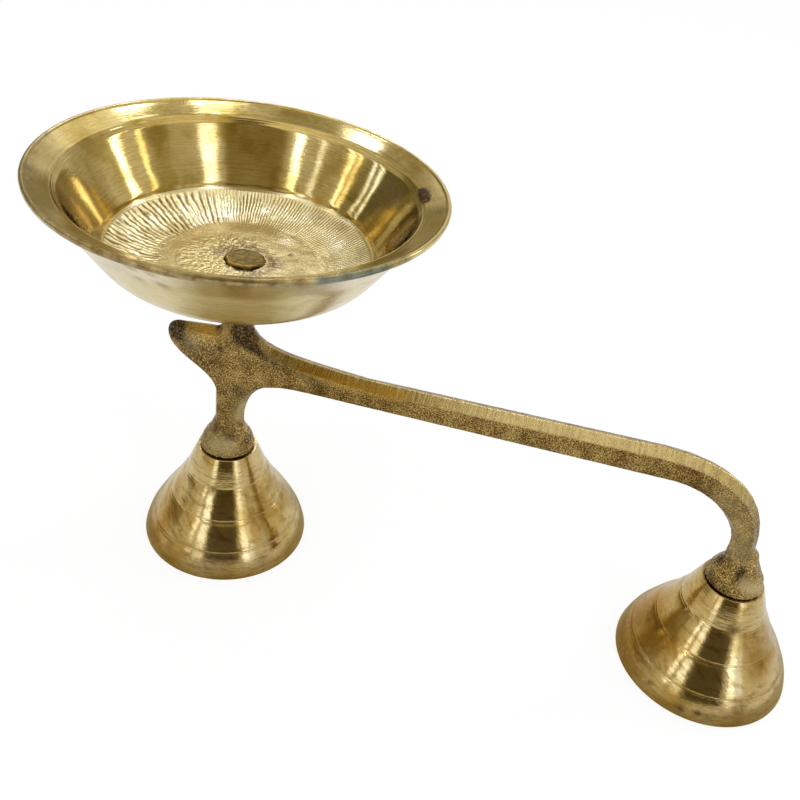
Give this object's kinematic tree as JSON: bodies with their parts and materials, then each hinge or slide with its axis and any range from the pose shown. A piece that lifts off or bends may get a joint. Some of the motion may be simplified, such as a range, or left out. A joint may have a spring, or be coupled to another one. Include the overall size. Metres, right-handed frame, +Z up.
{
  "type": "handled incense burner",
  "caption": "Brass incense burner: an open turned bowl riveted to a cast handle with a grip bar and a thumb spur, standing on hollow bell-shaped feet.",
  "frame": {"origin": "On the table, under the middle of the whole burner's length and width", "axes": "+X from the bowl along the handle to the rear foot, +Y to the left of someone looking along +X, +Z up"},
  "size_m": [0.1904, 0.089, 0.1018],
  "materials": {
    "brass_turned": "turned and polished brass with fine tool lines, lightly tarnished",
    "brass_cast": "sand-cast brass, grainy with dark pits, filed bright on its upper edges",
    "brass_peened": "hammered brass, dull and uneven"
  },
  "bodies": {
    "root": {"front_foot": "brass_turned", "rear_foot": "brass_turned", "handle_casting": "brass_cast", "front_foot_stud": "brass_peened", "rear_foot_stud": "brass_peened", "bowl": "brass_turned", "bowl_rivet": "brass_peened"}
  },
  "joints": []
}
